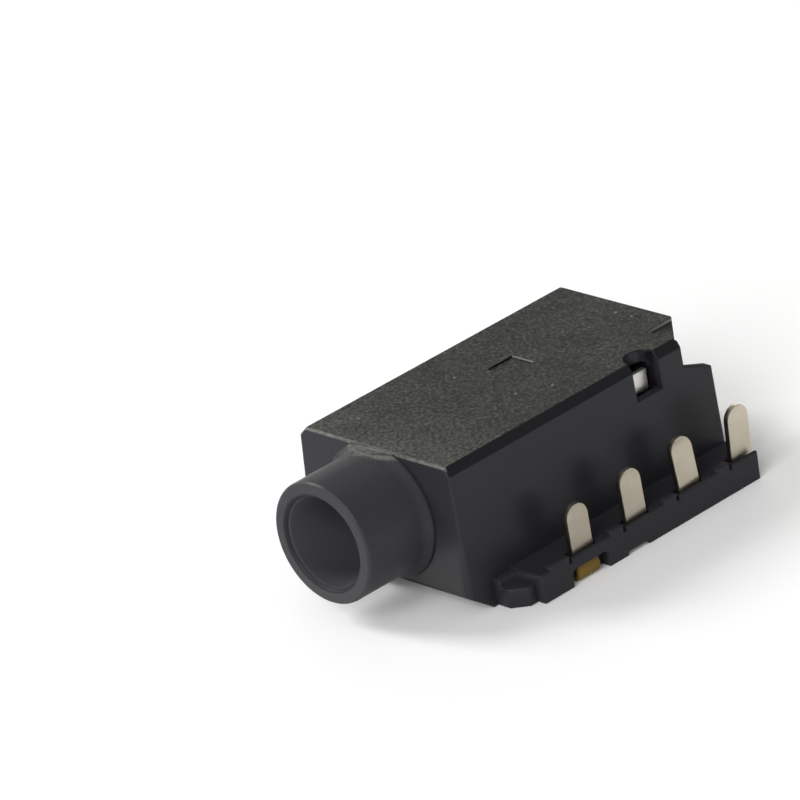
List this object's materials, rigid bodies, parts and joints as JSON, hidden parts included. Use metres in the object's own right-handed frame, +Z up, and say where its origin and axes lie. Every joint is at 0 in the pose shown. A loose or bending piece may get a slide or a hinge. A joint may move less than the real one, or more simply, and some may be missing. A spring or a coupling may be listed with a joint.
{
  "type": "audio jack socket",
  "caption": "Small moulded audio jack socket for a 3.5 mm plug: a round barrel on a drafted block, wings with rails, and bent strip contacts whose solder tabs stand beside the block.",
  "frame": {"origin": "centre of the whole socket's outline, on the underside that rests on the board", "axes": "the mouth of the barrel faces -Y, X = 0 is the middle plane of the bore, +Z is up from the board"},
  "size_m": [0.0114, 0.0172, 0.006],
  "materials": {
    "moulding": "moulded, spark-eroded top and smooth walls",
    "tinned_strip": "tin-plated copper alloy strip with bare cut edges",
    "bare_strip": "thinly plated copper alloy strip"
  },
  "bodies": {
    "root": {"housing": "moulding", "side_contact_1": "tinned_strip", "side_contact_2": "tinned_strip", "side_contact_3": "tinned_strip", "rear_contact": "tinned_strip", "tip_contact": "bare_strip", "switch_contact": "bare_strip"}
  },
  "joints": []
}
